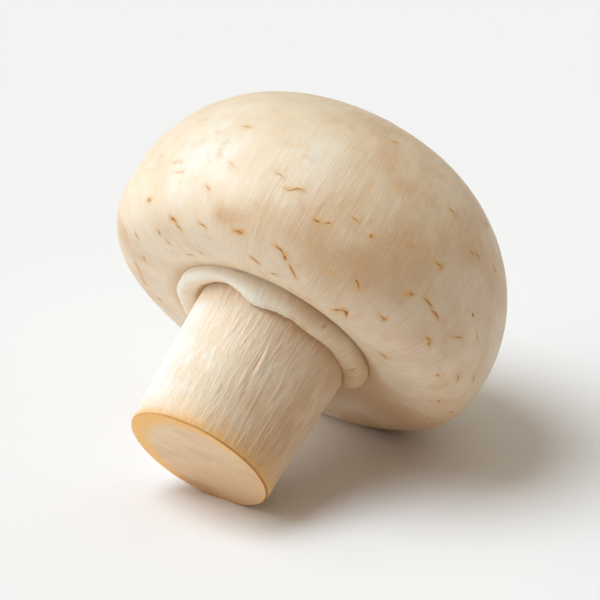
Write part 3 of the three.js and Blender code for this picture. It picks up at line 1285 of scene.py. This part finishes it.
@dataclass
class Cap:
    """The domed cap with its rolled-in lip and its hollow.

    The hollow's wall keeps a gap to the ring that is given in mm at degrees round the axis.
    """

    lie: Lie
    ring: Ring
    radius: float = 0.024
    waist: float = 0.026
    dome_height: float = 0.0197
    dome_power: float = 2.2
    lip_drop: float = 0.0076
    lip_radius: float = 0.0156
    lip_power: float = 2.65
    hollow_power: float = 5.0
    hollow_radius: float = 0.0128
    hollow_depth: float = 0.0028
    hollow_gap: Round = Round({
        -160: -1.0, -120: -0.9, -100: -0.5, -80: -0.15, -60: -0.1, 0: -0.1, 10: -0.3, 22: -0.6, 34: -0.3,
        60: -0.1, 120: -0.2,
    })
    sag: float = 0.0011
    sag_at: float = math.radians(-64)
    sag_span: Ends = (0.0125, 0.0175)
    lean: float = 0.00045
    lean_at: float = math.radians(120)
    outside: Ends = (-0.0025, 0.0015)
    crown: float = 0.012
    silky_way: Ends = (-0.0015, 0.0015)
    silky_radius: Ends = (0.002, 0.017)
    lumps: Relief = Relief(21, 9, 5, 0.16)
    swells: Relief = Relief(22, 22, 14, 0.04)
    wander: Relief = Relief(23, 30, 12, 0.004)
    wrinkles: Relief = Relief(24, 90, 14, 0.012)
    fibres: Relief = Relief(25, 200, 22, 0.011)
    welts: tuple[Welt, ...] = CAP_WELTS
    swellings: tuple[Patch, ...] = SWELLINGS
    patches: tuple[Patch, ...] = PATCHES
    stain: float = 1.5
    stain_width: float = 0.34 * MM
    strewn: int = 34
    strewn_seed: int = 27
    strewn_angles: Ends = (55.0, 178.0)
    strewn_ways: Ends = (2.0, 30.0)
    strewn_heading: Ends = (95.0, 25.0)
    strewn_lengths: Ends = (0.7, 1.9)
    strewn_strengths: Ends = (0.3, 0.9)
    raised_from: float = 0.2
    columns: int = 640
    roof_rows: int = 4
    hollow_rows: int = 16
    lip_rows: int = 44
    dome_rows: int = 84
    finish: CapSkin = CapSkin()
    sliver_finish: CapSkin = CapSkin("cap slivers", flesh=Flesh(softness=0.0))
    fleck: Sliver = Sliver(0.0002, 0.00007, 6, 12, True)
    fibril: Sliver = Sliver(0.00009, 0.000014, 4, 6, False)
    nap: Nap = Nap()
    skin: Turned = field(init=False)
    spots: Array = field(init=False)
    runs: Array = field(init=False)
    arounds: Array = field(init=False)

    def outline(self) -> Array:
        """The outline from the middle of the hollow's roof, round the lip and over the dome."""
        lip_height = self.waist - self.lip_drop
        roof_height = lip_height + self.hollow_depth
        wall = (self.hollow_radius - self.lip_radius, -self.hollow_depth)
        return stepped([
            (np.array([[0.0, roof_height], [self.hollow_radius, roof_height]]), self.roof_rows),
            (quarter((self.lip_radius, roof_height), wall, self.hollow_power), self.hollow_rows),
            (quarter((self.lip_radius, self.waist), (self.radius - self.lip_radius, -self.lip_drop),
                     self.lip_power)[::-1], self.lip_rows),
            (quarter((0.0, self.waist), (self.radius, self.dome_height), self.dome_power), self.dome_rows),
        ])

    def build(self) -> bpy.types.Object:
        """Makes the cap, sagging and leaning a little, with the hollow's wall close to the ring."""
        skin = self.skin = Turned(self.lie, self.outline(), self.columns)
        skin.way -= skin.way[self.roof_rows + self.hollow_rows - 1, 0]
        low = 1 - smoothstep(self.waist - self.lip_drop, self.waist, skin.height)
        outer = smoothstep(self.hollow_radius, self.lip_radius, skin.radius)
        hollow = smoothstep(0, self.hollow_radius, skin.radius) * (1 - outer) * low
        wall = (self.ring.outer.at(skin.turn) + self.hollow_gap.at(skin.turn)) * MM - self.hollow_radius
        hang = smoothstep(*self.sag_span, skin.radius)
        skin.radius += wall * hollow + self.lean * low * outer * np.cos(skin.turn - self.lean_at)
        skin.height -= self.sag * low * hang * np.cos(skin.turn - self.sag_at)
        skin.lift(MM * self.spread(self.swellings))
        self.roughen()
        self.spots = skin.points()
        self.runs = unit(np.gradient(self.spots, axis=0))
        self.arounds = unit(np.roll(self.spots, -1, 1) - np.roll(self.spots, 1, 1))
        return skin.build("cap_skin", [self.finish.make()], {
            "grain": grain(skin.turn, skin.way),
            "run": self.runs,
            "silky": smoothstep(*self.silky_way, skin.way) * smoothstep(*self.silky_radius, skin.radius),
            "stain": self.stains(),
            # partly the skin's own patches, partly painted highlight and painted shade
            "patch": self.spread(self.patches),
        })

    def roughen(self) -> None:
        """Gives the skin its broad unevenness, its wrinkles, its fibres and its welts."""
        skin = self.skin
        lap, along = skin.lap, np.clip(skin.way / skin.way.max(), 0, 1)
        rough = self.lumps.at(lap, along) + self.swells.at(lap, along)
        lap = lap + self.wander.at(lap, along)
        rough += self.wrinkles.at(lap, along) + self.fibres.at(lap, along)
        shown = smoothstep(*self.outside, skin.way) * smoothstep(0.0, self.crown, skin.radius)
        skin.lift(MM * shown * rough + skin.raised(self.welts))

    def at(self, angle: float, way: float) -> tuple[int, int]:
        """The grid's row and column nearest to a place on the skin, given in degrees and mm."""
        column = round((angle % 360) / 360 * self.columns) % self.columns
        return int(np.argmin(np.abs(self.skin.way[:, 0] - way * MM))), column

    def spread(self, patches: Sequence[Patch]) -> Array:
        """How strong broad patches are all over the skin.

        Args:
            patches: the patches.

        Returns:
            The patches' sum at each point.
        """
        points = self.skin.points()
        total = np.zeros(points.shape[:2])
        for patch in patches:
            away = np.linalg.norm(points - points[self.at(patch.angle, patch.way)], axis=-1)
            total += patch.strength * crest(away, patch.size * MM)
        return total

    def flecks(self) -> list[Fleck]:
        """The flecks that are placed one by one, and others strewn over the far side."""
        draw = np.random.default_rng(self.strewn_seed)
        shapes = list(FleckShape)
        strewn = [
            Fleck(draw.uniform(*self.strewn_angles), draw.uniform(*self.strewn_ways),
                  draw.normal(*self.strewn_heading), draw.uniform(*self.strewn_lengths),
                  shapes[draw.integers(len(shapes))], draw.uniform(*self.strewn_strengths))
            for _ in range(self.strewn)
        ]
        return [*FLECKS, *strewn]

    def heading(self, fleck: Fleck) -> tuple[Array, Array]:
        """Where a fleck lies on the skin.

        Args:
            fleck: the fleck.

        Returns:
            Its middle, and the direction that it runs in.
        """
        spot = self.at(fleck.angle, fleck.way)
        turn = math.radians(fleck.heading)
        return self.spots[spot], unit(math.cos(turn) * self.runs[spot] + math.sin(turn) * self.arounds[spot])

    def stains(self) -> Array:
        """How strongly each point of the skin is stained by the flecks."""
        total = np.zeros(self.spots.shape[:2])
        for fleck in self.flecks():
            middle, run = self.heading(fleck)
            away, reach = self.spots - middle, 0.5 * fleck.length * MM
            along = np.clip(away @ run, -reach, reach)
            distance = np.linalg.norm(away - along[..., None] * run, axis=-1)
            total += self.stain * fleck.halo * crest(distance, self.stain_width)
        return np.minimum(total, 1.0)

    def fleck_seeds(self) -> bpy.types.Mesh:
        """A point for each raised fleck, with what its sliver needs to know."""
        shown = [fleck for fleck in self.flecks() if fleck.strength > self.raised_from]
        middles, runs = zip(*(self.heading(fleck) for fleck in shown))
        mesh = bpy.data.meshes.new("fleck seeds")
        mesh.from_pydata(np.array(middles).tolist(), [], [])
        note(mesh, "run", np.array(runs))
        note(mesh, "length", np.array([fleck.length * MM for fleck in shown]))
        note(mesh, "tone", np.array([fleck.strength for fleck in shown]))
        shapes = np.array([fleck.shape.value for fleck in shown])
        for name, value in zip(("bow", "kick", "wave", "thick"), shapes.T):
            note(mesh, name, value)
        return mesh

    def dress(self, skin: bpy.types.Object) -> list[bpy.types.Object]:
        """Lays the flecks and the fibrils on the skin.

        Args:
            skin: the cap.

        Returns:
            The two pieces.
        """
        flecks = SliverTree("flecks", self.fleck)
        flecks.lay(flecks.inlet("Geometry"))
        fibrils = SliverTree("fibrils", self.fibril)
        fibrils.scatter(self.nap)
        finish = self.sliver_finish.make()
        return [
            flecks.grow("cap_flecks", self.fleck_seeds(), skin, finish),
            fibrils.grow("cap_fibrils", bpy.data.meshes.new("nothing"), skin, finish),
        ]


@dataclass
class Stem:
    """The short stem, with its fibrous side and its clean cut.

    Its side is woollier, browner or more sharply lined towards some angle, which is in radians. It also
    carries painted light and shade: paler on the side the key light falls on, tanner on the shaded side and
    on the neck under the ring.
    """

    lie: Lie
    cut_radius: float = 0.009
    neck_radius: float = 0.0098
    neck_height: float = 0.0184
    top: float = 0.0209
    edge: float = 0.0003
    flute: float = 0.00012
    flutes: int = 5
    # painted light and shade: the side is paler towards the key light and tanner on the shaded side
    side_light_and_shade: float = 0.55
    side_shade_at: float = math.radians(8)
    # painted shade: tan on the neck just under the ring
    neck_shade: float = 0.5
    neck_shade_span: Ends = (0.0150, 0.0170)
    browned_at: float = math.radians(-155)
    lined_at: float = math.radians(40)
    lined: float = 0.7
    lined_swing: float = 0.3
    woolly_at: float = math.radians(-48)
    woolly_span: Ends = (0.0, 0.75)
    woolly_least: float = 0.25
    foot_span: Ends = (0.0, 0.0015)
    head_span: Ends = (0.0, 0.0002)
    wander: Relief = Relief(31, 20, 6, 0.003)
    folds: Relief = Relief(32, 30, 4, 0.05)
    ridges: Relief = Relief(33, 130, 8)
    threads: Relief = Relief(34, 270, 14, 0.35)
    evenness: float = 0.6
    growth: float = 0.4
    unevenness: Relief = Relief(35, 14, 4, 0.4)
    ridge: float = 1.3
    ridge_width: float = 0.28
    groove: float = 0.45
    crest_height: float = 0.055
    welts: tuple[Welt, ...] = STEM_WELTS
    columns: int = 700
    cut_rows: int = 16
    edge_rows: int = 4
    side_rows: int = 110
    top_rows: int = 4
    finish: StemFlesh = StemFlesh()
    cut_finish: CutFlesh = CutFlesh()

    def outline(self) -> Array:
        """The outline from the middle of the cut, round its rim and up the side to the middle of the top."""
        slope = (self.neck_radius - self.cut_radius) / self.neck_height
        flat, shoulder = self.cut_radius - self.edge, self.cut_radius + slope * self.top
        return stepped([
            (np.array([[0.0, 0.0], [flat, 0.0]]), self.cut_rows),
            (quarter((flat, self.edge), (self.edge, -self.edge), 2)[::-1], self.edge_rows),
            (np.array([[self.cut_radius, self.edge], [shoulder, self.top]]), self.side_rows),
            (np.array([[shoulder, self.top], [0.0, self.top]]), self.top_rows),
        ])

    def build(self) -> bpy.types.Object:
        """Makes the stem, with shallow flutes down its side."""
        skin = Turned(self.lie, self.outline(), self.columns)
        skin.way -= skin.way[self.cut_rows + self.edge_rows, 0]
        reach = np.clip(skin.radius / self.cut_radius, 0, 1)
        height = np.maximum(skin.height, 0)
        side = smoothstep(0.5 * self.cut_radius, self.cut_radius, skin.radius)
        middle = np.sin(math.pi * np.clip(height / self.neck_height, 0, 1))
        skin.radius += self.flute * side * middle * np.cos(self.flutes * skin.turn)
        self.roughen(skin)
        # painted shade on the neck under the ring
        neck = self.neck_shade * smoothstep(*self.neck_shade_span, skin.height)
        east, north = skin.radius * np.cos(skin.turn), skin.radius * np.sin(skin.turn)
        piece = skin.build("stem_body", [self.finish.make(), self.cut_finish.make()], {
            "grain": grain(skin.turn, skin.way),
            "height": height,
            "tone": self.crests(skin),
            "patch": self.side_light_and_shade * np.cos(skin.turn - self.side_shade_at) + neck,
            "woolly": self.woolly(skin.turn),
            "reach": reach,
            "face": np.stack([east, north, height], -1),
            "browned": np.cos(skin.turn - self.browned_at),
            "lined": self.lined + self.lined_swing * np.cos(skin.turn - self.lined_at),
        })
        self.paint_cut(piece.data)
        return piece

    def woolly(self, turn: Array) -> Array:
        """How much the fibres show at an angle, from a little on the smooth side to 1."""
        share = smoothstep(*self.woolly_span, np.cos(turn - self.woolly_at))
        return self.woolly_least + (1 - self.woolly_least) * share

    def crests(self, skin: Turned) -> Array:
        """Where the fibres are.

        Args:
            skin: the stem.

        Returns:
            How high each point is among them, from -1 in the grooves to 1 on the ridges.
        """
        along = np.clip(skin.height / self.top, 0, 1)
        lap = skin.lap + self.wander.at(skin.lap, along)
        ridges = self.ridge * crest(self.ridges.at(lap, along), self.ridge_width) - self.groove
        return self.woolly(skin.turn) * (ridges + self.threads.at(lap, along))

    def roughen(self, skin: Turned) -> None:
        """Gives the side its folds, its welts and its ridges, which are strongest near the ring.

        Args:
            skin: the stem.
        """
        along = np.clip(skin.height / self.top, 0, 1)
        side = smoothstep(*self.foot_span, skin.height) * smoothstep(*self.head_span, self.top - skin.height)
        strength = self.evenness + self.unevenness.at(skin.lap, along) + self.growth * along
        height = self.folds.at(skin.lap, along) + self.crest_height * strength * self.crests(skin)
        skin.lift(side * (MM * height + skin.raised(self.welts)))

    def paint_cut(self, mesh: bpy.types.Mesh) -> None:
        """Gives the faces of the cut, up to the middle of its rounded edge, the cut's finish.

        Args:
            mesh: the stem's mesh.
        """
        limit = 1 + (self.cut_rows + self.edge_rows // 2 - 1) * self.columns
        first = np.array([face.vertices[0] for face in mesh.polygons])
        mesh.polygons.foreach_set("material_index", (first < limit).astype(np.int32))
        mesh.update()


# The studio


def bearing(azimuth: float, elevation: float) -> Array:
    """The direction of a place in the sky, which is given in degrees."""
    around, above = math.radians(azimuth), math.radians(elevation)
    level = math.cos(above)
    return np.array([level * math.cos(around), level * math.sin(around), math.sin(above)])


def turn_back(thing: bpy.types.Object, away: Array) -> None:
    """Turns a lamp or a camera so that its back is to a direction."""
    thing.rotation_mode = "QUATERNION"
    thing.rotation_quaternion = Vector(away).to_track_quat("Z", "Y")


@dataclass(frozen=True)
class Lamp:
    """A soft light far away. Its place and its size in the sky are degrees."""

    azimuth: float
    elevation: float
    size: float
    power: float
    tint: Colour

    def hang(self, name: str) -> None:
        """Makes the light.

        Args:
            name: what to call it.
        """
        data = bpy.data.lights.new(name, "SUN")
        data.energy = self.power
        data.angle = math.radians(self.size)
        data.color = self.tint
        turn_back(put(name, data), bearing(self.azimuth, self.elevation))


@dataclass
class Studio:
    """The table, the soft light and the camera, which looks at a place near the mushroom's axis."""

    lie: Lie
    azimuth: float = -55.416
    elevation: float = 25.768
    distance: float = 0.45
    lens: float = 231.2
    film: float = 36.0
    up_the_axis: float = 0.020
    aim_right: float = 0.00212
    aim_up: float = 0.002592
    clip: Ends = (0.01, 20.0)
    key: Lamp = Lamp(azimuth=225.0, elevation=63.0, size=34.0, power=1.8, tint=(0.94, 1.03, 1.08))
    window: Lamp = Lamp(azimuth=210.0, elevation=24.0, size=66.0, power=1.4, tint=(1.055, 0.975, 0.905))
    top: Lamp = Lamp(azimuth=60.0, elevation=66.0, size=84.0, power=0.82, tint=(1.05, 1.01, 0.85))
    room: float = 0.06
    room_tint: Colour = (1.0, 0.45, 0.2)
    backdrop: float = 0.95
    backdrop_tint: Colour = (0.93, 0.92, 0.91)
    table_size: float = 8.0
    paper: Paper = Paper()

    def build(self) -> None:
        """Lays the table, hangs the lamps, sets the room's light and aims the camera."""
        self.lay_table()
        for name, lamp in (("key", self.key), ("window", self.window), ("top", self.top)):
            lamp.hang(name)
        self.light_room()
        self.aim()
        bpy.context.scene.view_settings.view_transform = "Standard"

    def lay_table(self) -> None:
        """Lays the paper."""
        half = self.table_size / 2
        corners = [(-half, -half, 0), (half, -half, 0), (half, half, 0), (-half, half, 0)]
        mesh = bpy.data.meshes.new("table")
        mesh.from_pydata(corners, [], [(0, 1, 2, 3)])
        mesh.materials.append(self.paper.make())
        put("table", mesh)

    def light_room(self) -> None:
        """Sets the room's own faint light, and the plain backdrop that is seen."""
        world = bpy.data.worlds.new("room")
        world.use_nodes = True
        bpy.context.scene.world = world
        room = Graph(world.node_tree)
        seen = room.run("ShaderNodeBackground", {"Color": self.backdrop_tint, "Strength": self.backdrop})
        lit = room.run("ShaderNodeBackground", {"Color": self.room_tint, "Strength": self.room})
        looked_at = room.run("ShaderNodeLightPath", {}, "Is Camera Ray")
        both = room.run("ShaderNodeMixShader", {0: looked_at, 1: lit, 2: seen})
        room.node("ShaderNodeOutputWorld", {"Surface": both})

    def aim(self) -> None:
        """Sets the camera up at the viewing angle."""
        back = bearing(self.azimuth, self.elevation)
        right = unit(np.cross((0.0, 0.0, 1.0), back))
        target = self.lie.foot + self.up_the_axis * self.lie.along
        target = target + self.aim_right * right + self.aim_up * np.cross(back, right)
        data = bpy.data.cameras.new("camera")
        data.lens = self.lens
        data.sensor_width = self.film
        data.clip_start, data.clip_end = self.clip
        camera = put("camera", data)
        camera.location = Vector(target + self.distance * back)
        turn_back(camera, back)
        bpy.context.scene.camera = camera


def main() -> None:
    """Builds the mushroom and its studio, and logs how many faces each of the mushroom's pieces has."""
    logging.basicConfig(level=logging.INFO, format="%(name)s: %(message)s")
    lie = Lie.from_record(frame["record"])
    ring = Ring(lie)
    cap = Cap(lie, ring)
    skin = cap.build()
    pieces = [
        (skin, "cap", "cap_skin"),
        (Stem(lie).build(), "stem", "stem_flesh"),
        (ring.build(), "ring", "ring_veil"),
    ]
    pieces += [(piece, "cap", "cap_skin") for piece in cap.dress(skin)]
    for piece, node, slot in pieces:
        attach(piece, BODY)
        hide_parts(node)
        log.info("%s: %d faces", piece.name, len(piece.data.polygons))
    Studio(lie).build()


if __name__ == "__main__":
    main()
